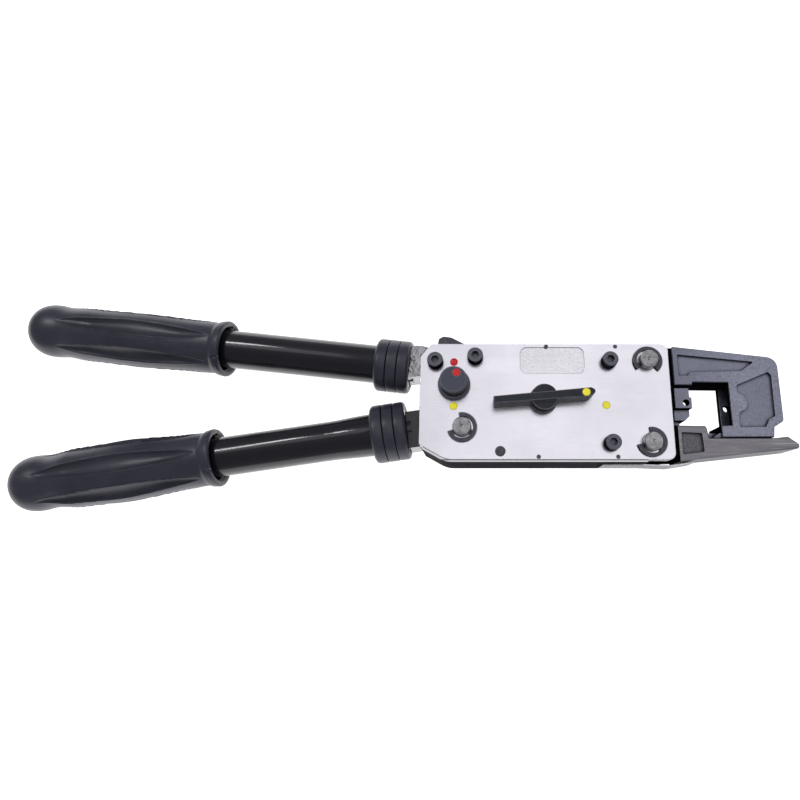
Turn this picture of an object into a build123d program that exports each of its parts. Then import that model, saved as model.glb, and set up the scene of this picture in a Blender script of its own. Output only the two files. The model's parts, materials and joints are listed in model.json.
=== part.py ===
from build123d import *
import math
import os

# Ratchet crimping tool for large terminals, lying on its back.
# Units: mm. The origin is on the axis of the moving handle's pivot pin, at the end of that pin that
# the tool rests on. +X runs from the handles to the jaws, +Y towards the fixed handle, +Z out of the
# front plate.

# ---------------------------------------------------------------- driving dimensions

PLATE_THICK = 7.0
REST_GAP = 4.0                      # from the resting surface to the rear plate
PLATE_GAP = 22.0                    # between the side plates
SLIDE_CLEARANCE = 0.3               # between a moving piece and each side plate
PIN_RUN = 0.05                      # radial running clearance of hinges and shafts

REAR_LOW = REST_GAP
GAP_LOW = REAR_LOW + PLATE_THICK
GAP_HIGH = GAP_LOW + PLATE_GAP
FRONT_TOP = GAP_HIGH + PLATE_THICK
MID_Z = (GAP_LOW + GAP_HIGH) / 2
CORE_LOW = GAP_LOW + SLIDE_CLEARANCE
CORE_HIGH = GAP_HIGH - SLIDE_CLEARANCE

BODY_LEFT, BODY_RIGHT = -29.9, 146.9
BODY_BOTTOM, BODY_TOP = -22.5, 60.9
BODY_CORNER = 5.5

HANDLE_PIVOT = (0.0, 0.0)
JAW_PIVOT = (131.5, 48.0)
LATCH_PIVOT = (130.7, -10.3)
PIVOT_R = 6.4
PIVOT_HEAD_R = 9.5
PIVOT_TOP = FRONT_TOP + 6.0
RING_THICK = 1.5
RING_R = 10.4
RING_BAND = 2.6
RING_NECK_R = 5.2
RING_HALF_GAP = 47.0                # half of the open angle
RING_GAP = 0.3                      # between the ring and the plate
RING_OPENINGS = (150.0, 266.0, 144.0)   # direction each ring opens in, degrees

FIXED_SCREW = (-19.1, 47.3)
LEVER_SCREW = (9.1, 50.6)
TOP_BLOCK_SCREW = (104.1, 47.7)
LOW_BLOCK_SCREW = (103.0, -11.2)
SCREWS = (FIXED_SCREW, LEVER_SCREW, TOP_BLOCK_SCREW, LOW_BLOCK_SCREW)
SCREW_R = 3.0
SCREW_HEAD_R = 5.5
SCREW_HEAD_H = 7.0
HEX_ACROSS = 5.0
HEX_DEPTH = 3.2

DOWELS = ((59.8, 59.0), (109.3, 58.9), (52.6, -20.5), (107.0, -20.5))
DOWEL_R = 1.4
STOP_PIN = (26.4, -16.7)
STOP_PIN_R = 3.5

LEVER_AXIS = (56.6, 19.3)
LEVER_TILT = 4.9                    # degrees that the pointer stands above +X
LEVER_REACH = 34.4
LEVER_TAIL = 35.0
SHAFT_R = 4.0
KNOB_AXIS = (-5.7, 30.5)
KNOB_TOP = FRONT_TOP + 15.0
MARK_R = 2.75
MARK_DEPTH = 0.8

RAM_LOW_Y, RAM_HIGH_Y = 5.0, 34.0
RAM_LEFT = 22.0
RAM_FACE = 147.6
RAM_SHOULDER = 126.0                # the full height ends here, so that the nose passes under the jaw
RAM_RETRACT = 1.2                   # travel left behind the rest position
RAM_ADVANCE = 18.8                  # travel towards the anvil
MODULE = 1.25
PINION_TEETH = 12
PINION_R = MODULE * PINION_TEETH / 2
RATCHET_PITCH = 2.0
RATCHET_DEPTH = 1.2
RATCHET_TEETH = 18
DIE_PIN_R = 2.4

JAW_LOW, JAW_HIGH = MID_Z - 12.0, MID_Z + 12.0
POCKET_DEPTH = 2.0
HUB_R = 12.3

TUBE_R = 14.1
TUBE_BORE_R = 11.5
SWOLLEN_R = 15.4                    # the moving tube's end under its collar
COLLAR_R = {"upper": 19.4, "lower": 20.9}
GRIP_R = {"upper": 20.8, "lower": 21.9}
BALL_R = 20.3
# distances along a handle, from the middle of its collar
GRIP_MOUTH = {"upper": 125.2, "lower": 123.8}
GRIP_BALL = {"upper": 252.9, "lower": 246.4}
TUBE_INNER_END = -10.8
TUBE_OUTER_END = 242.5
UPPER_COLLAR = (-49.8, 49.67)
UPPER_SLOPE = 173.8                 # direction of the fixed handle from the body, degrees
LOWER_COLLAR = (-50.5, 0.04)
LOWER_SLOPE = 188.4

os.makedirs("parts", exist_ok=True)


# ---------------------------------------------------------------- helpers

def prism(points, low, high, radius=0.0):
    """Straight-sided solid over a closed outline, its upright edges rounded where asked."""
    line = Polyline(*points, close=True)
    solid = extrude(make_face(line), high - low)
    if radius:
        solid = fillet(solid.edges().filter_by(Axis.Z), radius)
    return Pos(0, 0, low) * solid


def rod(center, radius, low, high):
    """Upright cylinder from one level to another."""
    return Pos(center[0], center[1], (low + high) / 2) * Cylinder(radius, high - low)


def box(x_low, x_high, y_low, y_high, z_low, z_high):
    """Box between two corners."""
    middle = Pos((x_low + x_high) / 2, (y_low + y_high) / 2, (z_low + z_high) / 2)
    return middle * Box(x_high - x_low, y_high - y_low, z_high - z_low)


def around(center, radius, degrees):
    """Point at an angle on a circle."""
    angle = math.radians(degrees)
    return (center[0] + radius * math.cos(angle), center[1] + radius * math.sin(angle))


def save(node, shape):
    """Write one sub-part to its own STEP file."""
    export_step(shape, f"parts/{node}.step")


def group(solids):
    """Several separate solids in one node."""
    return Compound(children=list(solids))


def along_handle(collar, slope, solid):
    """Place a solid made along +X from the collar's middle onto a handle's axis."""
    return Pos(collar[0], collar[1], MID_Z) * Rot(0, 0, slope) * solid


def turned(profile):
    """Solid turned about the X axis from (distance, radius) points."""
    face = make_face(Polyline(*profile, close=True))
    return revolve(face, Axis.X)


# ---------------------------------------------------------------- side plates

BODY_OUTLINE = (
    (BODY_LEFT, -11.9), (-11.1, BODY_BOTTOM), (BODY_RIGHT, BODY_BOTTOM),
    (BODY_RIGHT, BODY_TOP), (-22.4, BODY_TOP), (BODY_LEFT, 51.0),
)


NECK_CORNER = (BODY_LEFT, -11.9, GAP_LOW)
HEEL = (-11.1, BODY_BOTTOM, GAP_LOW)
TOP_LEFT_CORNER = (-22.4, BODY_TOP, GAP_LOW)
SHOULDER_CORNER = (BODY_LEFT, 51.0, GAP_LOW)
HEEL_ROUND = 18.0


def side_plate(low, high):
    """One nickel-plated side plate with its bores."""
    plate = prism(BODY_OUTLINE, low, high)
    uprights = plate.edges().filter_by(Axis.Z).sort_by(Axis.X)
    plate = fillet(uprights[-2:], BODY_CORNER)
    plate = fillet(plate.edges().filter_by(Axis.Z).sort_by_distance(HEEL)[:1], HEEL_ROUND)
    for corner in (NECK_CORNER, TOP_LEFT_CORNER, SHOULDER_CORNER):
        plate = fillet(plate.edges().filter_by(Axis.Z).sort_by_distance(corner)[:1], 2.5)
    for center in (HANDLE_PIVOT, JAW_PIVOT, LATCH_PIVOT):
        plate -= rod(center, PIVOT_R + PIN_RUN, low, high)
    for center in SCREWS:
        plate -= rod(center, SCREW_R + PIN_RUN, low, high)
    for center in DOWELS:
        plate -= rod(center, DOWEL_R + PIN_RUN, low, high)
    plate -= rod(STOP_PIN, STOP_PIN_R + PIN_RUN, low, high)
    for center in (LEVER_AXIS, KNOB_AXIS):
        plate -= rod(center, SHAFT_R + PIN_RUN, low, high)
    return plate


PLATE_MARKS = {
    "red_plate_mark": ((-6.0, 47.3),),
    "yellow_plate_marks": ((-6.0, 15.2), (100.8, 15.8)),
}
NAMEPLATE = (41.0, 86.8, 38.7, 58.4)      # x low, x high, y low, y high
NAMEPLATE_CORNER = 5.0
NAMEPLATE_DEPTH = 0.7
PLATE_EDGE_BREAK = 0.35

front_plate = side_plate(GAP_HIGH, FRONT_TOP)
front_plate = chamfer(front_plate.faces().sort_by(Axis.Z)[-1].outer_wire().edges(), PLATE_EDGE_BREAK)
pocket = box(*NAMEPLATE, FRONT_TOP - NAMEPLATE_DEPTH, FRONT_TOP + 1)
pocket = fillet(pocket.edges().filter_by(Axis.Z), NAMEPLATE_CORNER)
front_plate -= pocket
for node, centers in PLATE_MARKS.items():
    inlays = []
    for center in centers:
        front_plate -= rod(center, MARK_R, FRONT_TOP - MARK_DEPTH, FRONT_TOP + 1)
        inlays.append(rod(center, MARK_R, FRONT_TOP - MARK_DEPTH, FRONT_TOP))
    save(node, group(inlays))
save("front_side_plate", front_plate)
save("rear_side_plate", side_plate(REAR_LOW, GAP_LOW))


# ---------------------------------------------------------------- covers and blocks between the plates

STRIP_THICK = 1.5
STRIP_LOW, STRIP_HIGH = REAR_LOW + 0.5, FRONT_TOP - 0.5
STRIP_END = 127.5
LUG_HALF = 4.0
LUG_LOW, LUG_HIGH = GAP_LOW + 2, GAP_HIGH - 2

strip_outline = (
    (-27.0, -13.65), (-11.1, BODY_BOTTOM), (STRIP_END, BODY_BOTTOM),
    (STRIP_END, BODY_BOTTOM - STRIP_THICK), (-11.5, BODY_BOTTOM - STRIP_THICK), (-27.75, -14.95),
)
STRIP_HEEL = (-11.5, BODY_BOTTOM - STRIP_THICK, GAP_LOW)
bottom_strip = prism(strip_outline, STRIP_LOW, STRIP_HIGH)
bottom_strip = fillet(bottom_strip.edges().filter_by(Axis.Z).sort_by_distance(HEEL)[:1], HEEL_ROUND)
bottom_strip = fillet(bottom_strip.edges().filter_by(Axis.Z).sort_by_distance(STRIP_HEEL)[:1],
                      HEEL_ROUND + STRIP_THICK)
for dowel in DOWELS[2:]:
    bottom_strip += box(dowel[0] - LUG_HALF, dowel[0] + LUG_HALF, BODY_BOTTOM, dowel[1] + LUG_HALF,
                        LUG_LOW, LUG_HIGH)
    bottom_strip -= rod(dowel, DOWEL_R + PIN_RUN, LUG_LOW, LUG_HIGH)
save("bottom_cover_strip", bottom_strip)

TOP_STRIP_LEFT, TOP_STRIP_RIGHT = 24.0, 116.0
top_strip_y = DOWELS[1][1] - DOWEL_R - PIN_RUN
save("top_cover_strip", box(TOP_STRIP_LEFT, TOP_STRIP_RIGHT, top_strip_y - STRIP_THICK, top_strip_y,
                            GAP_LOW, GAP_HIGH))

BLOCK_LEFT, BLOCK_RIGHT = 66.0, 113.0
GUIDE_CLEARANCE = 0.15


def guide_block(y_low, y_high, screw):
    """Hardened block that one edge of the ram slides along."""
    block = box(BLOCK_LEFT, BLOCK_RIGHT, y_low, y_high, GAP_LOW, GAP_HIGH)
    return block - rod(screw, SCREW_R + PIN_RUN, GAP_LOW, GAP_HIGH)


save("upper_guide_block", guide_block(RAM_HIGH_Y + GUIDE_CLEARANCE, top_strip_y - STRIP_THICK,
                                      TOP_BLOCK_SCREW))
lower_block = guide_block(BODY_BOTTOM, RAM_LOW_Y - GUIDE_CLEARANCE, LOW_BLOCK_SCREW)
lug_gap = LUG_HALF + 0.5
lower_block -= box(DOWELS[3][0] - lug_gap, BLOCK_RIGHT, BODY_BOTTOM, DOWELS[3][1] + lug_gap,
                   GAP_LOW, GAP_HIGH)
save("lower_guide_block", lower_block)


# ---------------------------------------------------------------- fasteners and pins

def cap_screw(center):
    """Socket head cap screw, its threaded end in the rear plate."""
    screw = rod(center, SCREW_R, REAR_LOW, FRONT_TOP + 1)
    head = rod(center, SCREW_HEAD_R, FRONT_TOP, FRONT_TOP + SCREW_HEAD_H)
    head = chamfer(head.faces().sort_by(Axis.Z)[-1].edges(), 0.5)
    socket = extrude(RegularPolygon(HEX_ACROSS / 2, 6, major_radius=False), HEX_DEPTH)
    return screw + head - Pos(center[0], center[1], FRONT_TOP + SCREW_HEAD_H - HEX_DEPTH) * socket


def pivot_pin(center):
    """Headed pin through both plates with a groove for its retaining ring."""
    pin = rod(center, PIVOT_R, 0, PIVOT_TOP) + rod(center, PIVOT_HEAD_R, 0, REST_GAP)
    pin = chamfer(pin.faces().sort_by(Axis.Z)[-1].edges(), 0.6)
    groove_low = FRONT_TOP + RING_GAP - 0.1
    groove_high = groove_low + RING_THICK + 0.2
    groove = rod(center, PIVOT_R + 1, groove_low, groove_high)
    groove -= rod(center, RING_NECK_R, groove_low, groove_high)
    return pin - groove


def retaining_ring(center, opening):
    """Open E-shaped ring: an outer band with three prongs that reach into the pin's groove."""
    low = FRONT_TOP + RING_GAP
    high = low + RING_THICK
    ring = rod(center, RING_R, low, high) - rod(center, RING_R - RING_BAND, low, high)
    for turn in (58, 180, 302):
        prong = box(RING_NECK_R + 0.05, RING_R - 0.6, -1.7, 1.7, low, high)
        ring += Pos(center[0], center[1], 0) * Rot(0, 0, opening + turn) * prong
    neck = rod(center, RING_NECK_R + 0.05, low, high)
    wedge = prism(((0, 0), around((0, 0), 30, RING_HALF_GAP), (30, 0), around((0, 0), 30, -RING_HALF_GAP)),
                  low, high)
    wedge = Pos(center[0], center[1], 0) * Rot(0, 0, opening) * wedge
    return ring - neck - wedge


pins = {"handle_pivot_pin": HANDLE_PIVOT, "jaw_pivot_pin": JAW_PIVOT, "latch_pivot_pin": LATCH_PIVOT}
for node, center in pins.items():
    save(node, pivot_pin(center))
save("retaining_rings", group(retaining_ring(c, a) for c, a in zip(pins.values(), RING_OPENINGS)))
save("cap_screws", group(cap_screw(c) for c in SCREWS))
save("dowel_pins", group(rod(c, DOWEL_R, REAR_LOW, FRONT_TOP) for c in DOWELS))
stop_pin = rod(STOP_PIN, STOP_PIN_R, REAR_LOW, FRONT_TOP + 0.3)
save("stop_pin", chamfer(stop_pin.faces().sort_by(Axis.Z)[-1].edges(), 0.4))


# ---------------------------------------------------------------- handles: tube, collar and grip

def handle_tube(collar, slope, end_r):
    """Steel handle tube, its body end swelling to a radius."""
    swell = Spline((TUBE_INNER_END, end_r), (12, end_r), (30, (end_r + TUBE_R) / 2), (46, TUBE_R),
                   tangents=((1, 0), (1, 0)))
    rest = Polyline((46, TUBE_R), (TUBE_OUTER_END, TUBE_R), (TUBE_OUTER_END, TUBE_BORE_R),
                    (TUBE_INNER_END, TUBE_BORE_R), (TUBE_INNER_END, end_r))
    if end_r == TUBE_R:
        swell = Line((TUBE_INNER_END, end_r), (46, TUBE_R))
    return along_handle(collar, slope, revolve(make_face(swell + rest), Axis.X))


def rubber_collar(collar, slope, bore, outer):
    """Rubber collar of three rounded rings at the body end of a handle."""
    groove = outer - 1.4
    profile = [(-11.2, bore), (-11.2, outer - 1.6), (-9.7, outer), (-4.1, outer), (-3.3, groove),
               (-2.7, groove), (-1.9, outer), (4.2, outer), (5.0, groove), (5.6, groove), (6.4, outer),
               (12, outer), (13.5, outer - 1.6), (13.5, bore)]
    return along_handle(collar, slope, turned(profile))


def grip(collar, slope, mouth, end, middle_r):
    """Rubber grip: flared mouth, long swelling body, narrow neck and ball end, closed at the far end."""
    bore = TUBE_R + PIN_RUN
    inner_end = TUBE_OUTER_END + 0.5
    outer = Spline((mouth + 2, BALL_R), (mouth + 24, 18.9), (mouth + 66, middle_r), (end - 17, 19.4),
                   (end, BALL_R), tangents=((1, -0.14), (1, 0)))
    rest = Polyline((end, BALL_R), (end, 0), (inner_end, 0), (inner_end, bore), (mouth, bore),
                    (mouth, 18.8), (mouth + 2, BALL_R))
    solid = revolve(make_face(outer + rest), Axis.X)
    ball = Pos(end, 0, 0) * Sphere(BALL_R) & box(end, end + 30, -30, 30, -30, 30)
    return along_handle(collar, slope, solid + ball)


HANDLES = (("upper", UPPER_COLLAR, UPPER_SLOPE, TUBE_R), ("lower", LOWER_COLLAR, LOWER_SLOPE, SWOLLEN_R))
for side, collar, slope, end_r in HANDLES:
    save(f"{side}_handle_tube", handle_tube(collar, slope, end_r))
    save(f"{side}_collar", rubber_collar(collar, slope, end_r + PIN_RUN, COLLAR_R[side]))
    save(f"{side}_grip", grip(collar, slope, GRIP_MOUTH[side], GRIP_BALL[side], GRIP_R[side]))


# ---------------------------------------------------------------- fixed handle root

SPIGOT_R = TUBE_BORE_R - PIN_RUN
SPIGOT_END = 40.0
FORK_LOW, FORK_HIGH = GAP_LOW + 2.4, GAP_HIGH - 2.4

upper_root_outline = (
    (-45, 37.2), (-22, 40.2), (16.5, 43.0), (16.5, 58.0), (-15, 60.2), (-23, 60.2), (-30, 62.0),
    (-44, 62.0),
)
upper_root = prism(upper_root_outline, GAP_LOW, GAP_HIGH)
upper_root -= box(-1.5, 20, 36, 66, FORK_LOW, FORK_HIGH)
upper_root -= box(-21.5, 20, 52.5, 66, FORK_LOW, FORK_HIGH)
for screw in (FIXED_SCREW, LEVER_SCREW):
    upper_root -= rod(screw, SCREW_R + PIN_RUN, GAP_LOW, GAP_HIGH)
spigot = Pos((TUBE_INNER_END - 4 + SPIGOT_END) / 2, 0, 0) * Rot(0, 90, 0) * Cylinder(
    SPIGOT_R, SPIGOT_END - TUBE_INNER_END + 4)
upper_root = upper_root - along_handle(
    UPPER_COLLAR, UPPER_SLOPE, box(TUBE_INNER_END - 0.5, 60, -30, 30, -30, 30))
upper_root += along_handle(UPPER_COLLAR, UPPER_SLOPE, spigot)
save("upper_handle_root", upper_root)


# ---------------------------------------------------------------- moving handle root and drive pawl

CRANK_PIN = (0.0, 16.5)
CRANK_PIN_R = 3.0
EAR_R = 5.8
CRANK_HUB_R = 13.0
BOSS_R = 8.3
PAWL_LOW, PAWL_HIGH = MID_Z - 5.5, MID_Z + 5.5
PAWL_SIDE_GAP = 0.3

shank = box(8, 19, -15.2, 11, CORE_LOW - MID_Z, CORE_HIGH - MID_Z)
shank += box(8, 60, -12.0, 11, CORE_LOW - MID_Z, CORE_HIGH - MID_Z)
shank = along_handle(LOWER_COLLAR, LOWER_SLOPE, Rot(0, 0, 180) * shank)
shank = shank & box(-80, 1, -40, 40, CORE_LOW, CORE_HIGH)
ear_outline = (
    (-11.5, 3), (-EAR_R, CRANK_PIN[1]), (EAR_R, CRANK_PIN[1]), (12, 3),
)
ear = prism(ear_outline, CORE_LOW, CORE_HIGH) + rod(CRANK_PIN, EAR_R, CORE_LOW, CORE_HIGH)
toe_outline = ((0, 2), (24, 1.6), (26.5, -1), (26.5, -4.5), (24, -5.6), (0, -9))
toe = prism(toe_outline, CORE_LOW, CORE_HIGH)
lower_root = shank + ear + toe + rod(HANDLE_PIVOT, CRANK_HUB_R, CORE_LOW, CORE_HIGH)
pawl_slot_outline = ((-9.5, 9.4), (-9.5, 26), (32, 26), (32, -14), (11.5, -14), (6, 0), (0, 6))
slot_low, slot_high = PAWL_LOW - PAWL_SIDE_GAP, PAWL_HIGH + PAWL_SIDE_GAP
lower_root -= prism(pawl_slot_outline, slot_low, slot_high) - rod(HANDLE_PIVOT, BOSS_R, slot_low, slot_high)
lower_root -= rod(HANDLE_PIVOT, PIVOT_R + PIN_RUN, CORE_LOW, CORE_HIGH)
lower_root -= rod(CRANK_PIN, CRANK_PIN_R + PIN_RUN, CORE_LOW, CORE_HIGH)
lower_root -= along_handle(LOWER_COLLAR, LOWER_SLOPE, box(TUBE_INNER_END - 0.5, 60, -30, 30, -30, 30))
lower_root += along_handle(LOWER_COLLAR, LOWER_SLOPE, spigot)
save("lower_handle_root", lower_root)
save("drive_pawl_pin", rod(CRANK_PIN, CRANK_PIN_R, CORE_LOW, CORE_HIGH))

drive_pawl_outline = (
    (-1, 11.7), (4, 11.2), (20.4, -2.6), (34.2, -1.4), (35.2, 1.5), (33.0, 4.6), (27, 2.0), (19.6, 2.7),
    (7.6, 13.8), (4.9, 16.5),
)
drive_pawl = prism(drive_pawl_outline, PAWL_LOW, PAWL_HIGH)
drive_pawl += rod(CRANK_PIN, 4.9, PAWL_LOW, PAWL_HIGH)
drive_pawl -= rod(CRANK_PIN, CRANK_PIN_R + PIN_RUN, PAWL_LOW, PAWL_HIGH)
save("drive_pawl", drive_pawl)
pawl_spring_outline = ((9.4, -6.9), (14, -7.2), (20.5, -4.0), (21, -4.8), (14.2, -8.2), (9.7, -7.9))
save("drive_pawl_spring", prism(pawl_spring_outline, MID_Z - 3, MID_Z + 3))


# ---------------------------------------------------------------- ram

def ratchet_cut(edge_y, inward, first_x, lean):
    """Saw-tooth notches along one edge of the ram."""
    cuts = []
    for index in range(RATCHET_TEETH):
        x = first_x + index * RATCHET_PITCH
        deep = edge_y + inward * RATCHET_DEPTH
        steep = x if lean > 0 else x + RATCHET_PITCH
        outside = edge_y - inward * 0.5
        notch = ((x, outside), (x + RATCHET_PITCH, outside), (x + RATCHET_PITCH, edge_y), (steep, deep),
                 (x, edge_y))
        cuts.append(prism(notch, CORE_LOW, CORE_HIGH))
    return cuts


SLOT_LEFT = LEVER_AXIS[0] - RAM_ADVANCE - PINION_R - 3.0
SLOT_RIGHT = LEVER_AXIS[0] + RAM_RETRACT + PINION_R + 3.0
RACK_LINE = LEVER_AXIS[1] - PINION_R
SLOT_TOP = LEVER_AXIS[1] + PINION_R + MODULE + 0.8
RACK_ROOT = RACK_LINE - 1.25 * MODULE

ram_outline = (
    (RAM_LEFT, RAM_LOW_Y + 4), (RAM_LEFT + 4, RAM_LOW_Y), (RAM_FACE, RAM_LOW_Y), (RAM_FACE, 4.4),
    (156.0, 4.4), (156.0, 7.1), (159.0, 7.1), (162.4, 10.4), (162.4, 14.9), (151.0, 14.9),
    (151.0, 30.0), (RAM_SHOULDER, 30.0), (RAM_SHOULDER - 2, RAM_HIGH_Y), (RAM_LEFT + 2, RAM_HIGH_Y),
    (RAM_LEFT, RAM_HIGH_Y - 2),
)
SECOND_STEP_TOP = MID_Z + 6.7
THIRD_STEP_TOP = MID_Z + 2.7
ram = prism(ram_outline, CORE_LOW, CORE_HIGH)
ram -= box(RAM_FACE, 170, 0, 14.9, SECOND_STEP_TOP, 40)
ram -= box(RAM_FACE, 170, 0, 7.1, THIRD_STEP_TOP, 40)
ram -= box(SLOT_LEFT, SLOT_RIGHT, RACK_ROOT, SLOT_TOP, CORE_LOW, CORE_HIGH)
ram += box(SLOT_LEFT, SLOT_RIGHT, RACK_ROOT - 1, RACK_LINE + MODULE, MID_Z - 5, MID_Z + 5)
tooth_pitch = math.pi * MODULE
flank = math.tan(math.radians(20))
BACKLASH = 0.2
half_gap_at_line = tooth_pitch / 4 + BACKLASH
gap_top = half_gap_at_line + MODULE * flank
gap_bottom = half_gap_at_line - (RACK_LINE - RACK_ROOT) * flank
# A pinion tooth points straight down into the gap on the pinion's own centre line.
first_gap = -math.floor((LEVER_AXIS[0] - SLOT_LEFT) / tooth_pitch)
last_gap = math.floor((SLOT_RIGHT - LEVER_AXIS[0]) / tooth_pitch)
for index in range(first_gap, last_gap + 1):
    x = LEVER_AXIS[0] + index * tooth_pitch
    gap = ((x - gap_top, RACK_LINE + MODULE), (x - gap_bottom, RACK_ROOT), (x + gap_bottom, RACK_ROOT),
           (x + gap_top, RACK_LINE + MODULE))
    ram -= prism(gap, MID_Z - 5, MID_Z + 5)
for cut in ratchet_cut(RAM_HIGH_Y, -1, RAM_LEFT + 2, -1) + ratchet_cut(RAM_LOW_Y, 1, RAM_LEFT + 4, 1):
    ram -= cut
save("ram_bar", ram)

CHEEK_LOW = CORE_HIGH - 8.4
RAM_DIE_PIN = (159.4, 19.4)
cheek_outline = (
    (151.0, 15.4), (163.3, 15.4), (163.3, 23.0), (161.8, 23.4), (161.8, 30.0), (151.0, 30.0),
)
cheek = prism(cheek_outline, CHEEK_LOW, CORE_HIGH)
save("die_holder_cheek", cheek - rod(RAM_DIE_PIN, DIE_PIN_R, CHEEK_LOW, CORE_HIGH))


# ---------------------------------------------------------------- pointer lever, shaft and pinion

LEVER_LOW, LEVER_HIGH = FRONT_TOP + 1.0, FRONT_TOP + 14.0
LEVER_HUB_TOP = FRONT_TOP + 11.0
LEVER_HALF_WIDTH = 3.1

lever_outline = (
    (-LEVER_TAIL, -2.6), (LEVER_REACH - 3.4, -LEVER_HALF_WIDTH), (LEVER_REACH, -0.6),
    (LEVER_REACH, 1.4), (LEVER_REACH - 2.4, LEVER_HALF_WIDTH), (-LEVER_TAIL, 2.6),
)
bar = prism(lever_outline, LEVER_LOW, LEVER_HIGH, radius=0.8)
bar = chamfer(bar.faces().sort_by(Axis.Z)[-1].edges(), 0.4)
hub = rod((0, 0), 9.9, LEVER_LOW, LEVER_LOW + 2.5) + rod((0, 0), 9.0, LEVER_LOW, LEVER_HUB_TOP)
lever_place = Pos(LEVER_AXIS[0], LEVER_AXIS[1], 0) * Rot(0, 0, LEVER_TILT)
mark_at = (LEVER_REACH - 6.2, 0)
lever = bar + hub
lever -= rod(mark_at, MARK_R, LEVER_HIGH - MARK_DEPTH, LEVER_HIGH + 1)
lever -= rod((0, 0), SHAFT_R + PIN_RUN, LEVER_LOW, LEVER_LOW + 6)
save("return_lever", lever_place * lever)
save("lever_mark", lever_place * rod(mark_at, MARK_R, LEVER_HIGH - MARK_DEPTH, LEVER_HIGH))
save("lever_shaft", rod(LEVER_AXIS, SHAFT_R, REAR_LOW, LEVER_LOW + 6))

PINION_LOW, PINION_HIGH = MID_Z - 4.5, MID_Z + 4.5
pinion_root_r = PINION_R - 1.25 * MODULE
pinion = rod(LEVER_AXIS, pinion_root_r, PINION_LOW, PINION_HIGH)
half_tooth = tooth_pitch / 4 - BACKLASH
tooth_profile = (
    (pinion_root_r - 0.6, -half_tooth - 0.5), (pinion_root_r, -half_tooth - 0.42),
    (PINION_R, -half_tooth), (PINION_R + 0.6 * MODULE, -half_tooth + 0.33),
    (PINION_R + MODULE, -half_tooth + 0.72), (PINION_R + MODULE, half_tooth - 0.72),
    (PINION_R + 0.6 * MODULE, half_tooth - 0.33), (PINION_R, half_tooth),
    (pinion_root_r, half_tooth + 0.42), (pinion_root_r - 0.6, half_tooth + 0.5),
)
tooth = prism(tooth_profile, PINION_LOW, PINION_HIGH)
for index in range(PINION_TEETH):
    turn = -90 + index * 360 / PINION_TEETH
    pinion += Pos(LEVER_AXIS[0], LEVER_AXIS[1], 0) * Rot(0, 0, turn) * tooth
save("return_pinion", pinion - rod(LEVER_AXIS, SHAFT_R, PINION_LOW, PINION_HIGH))


# ---------------------------------------------------------------- knob and its cam

KNOB_FLANGE_R = 11.3
KNOB_LOW = FRONT_TOP + 0.3
knob_profile = (
    (0, KNOB_LOW), (KNOB_FLANGE_R, KNOB_LOW), (KNOB_FLANGE_R, KNOB_LOW + 2.6),
    (KNOB_FLANGE_R - 0.8, KNOB_LOW + 3.4), (KNOB_FLANGE_R - 1.5, KNOB_LOW + 3.6),
    (9.5, KNOB_TOP - 0.9), (8.7, KNOB_TOP), (0, KNOB_TOP),
)
knob_face = make_face(Polyline(*[(radius, 0, level) for radius, level in knob_profile], close=True))
knob = Pos(KNOB_AXIS[0], KNOB_AXIS[1], 0) * revolve(knob_face, Axis.Z)
knob_mark_at = around(KNOB_AXIS, 5.2, 66)
knob -= rod(knob_mark_at, MARK_R, KNOB_TOP - MARK_DEPTH, KNOB_TOP + 1)
knob -= rod(KNOB_AXIS, SHAFT_R + PIN_RUN, KNOB_LOW, KNOB_LOW + 8)
save("release_knob", knob)
save("knob_mark", rod(knob_mark_at, MARK_R, KNOB_TOP - MARK_DEPTH, KNOB_TOP))

CAM_R = 6.25
CAM_OFFSET = 1.25
CAM_LOW, CAM_HIGH = MID_Z - 7.5, MID_Z - 0.5
cam = rod(KNOB_AXIS, SHAFT_R, REAR_LOW, KNOB_LOW + 8)
cam += rod((KNOB_AXIS[0] - CAM_OFFSET, KNOB_AXIS[1]), CAM_R, CAM_LOW, CAM_HIGH)
save("cam_shaft", cam)


# ---------------------------------------------------------------- holding pawl and thumb lever

HOLD_LOW, HOLD_HIGH = GAP_LOW + 2.8, MID_Z - 0.4
THUMB_LOW, THUMB_HIGH = MID_Z, GAP_HIGH - 2.8
LEVER_HUB_R = 6.4
holding_outline = (
    (3.2, 50.5), (-0.15, 40), (-0.15, 27.5), (4.6, 27.5), (5.2, 39), (10, 44.2), (17, 43.0), (27, 36.0),
    (31.4, 34.5), (32.2, 38.2), (22, 45.4), (15.4, 51.5),
)
holding_pawl = prism(holding_outline, HOLD_LOW, HOLD_HIGH)
holding_pawl += rod(LEVER_SCREW, LEVER_HUB_R, HOLD_LOW, HOLD_HIGH)
holding_pawl -= rod(LEVER_SCREW, SCREW_R + PIN_RUN, HOLD_LOW, HOLD_HIGH)
save("holding_pawl", holding_pawl)
holding_spring_outline = ((33, 54.9), (27, 52.8), (22.6, 46.6), (21.8, 47.1), (26.4, 53.6), (33, 55.8))
save("holding_pawl_spring", prism(holding_spring_outline, HOLD_LOW + 1.5, HOLD_HIGH - 1.5))

thumb_outline = (
    (6, 45.2), (3.0, 53), (-9.5, 60.6), (-15.6, 61.6), (-18.4, 64.4), (-17.8, 68.2), (-14.4, 70.2),
    (-8.5, 69.4), (2.5, 63.6), (9, 59.6), (15, 53),
)
thumb = prism(thumb_outline, THUMB_LOW, THUMB_HIGH, radius=0.9)
thumb += rod(LEVER_SCREW, LEVER_HUB_R, THUMB_LOW, THUMB_HIGH)
thumb -= rod(LEVER_SCREW, SCREW_R + PIN_RUN, THUMB_LOW, THUMB_HIGH)
save("thumb_lever", thumb)


# ---------------------------------------------------------------- upper jaw

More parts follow.
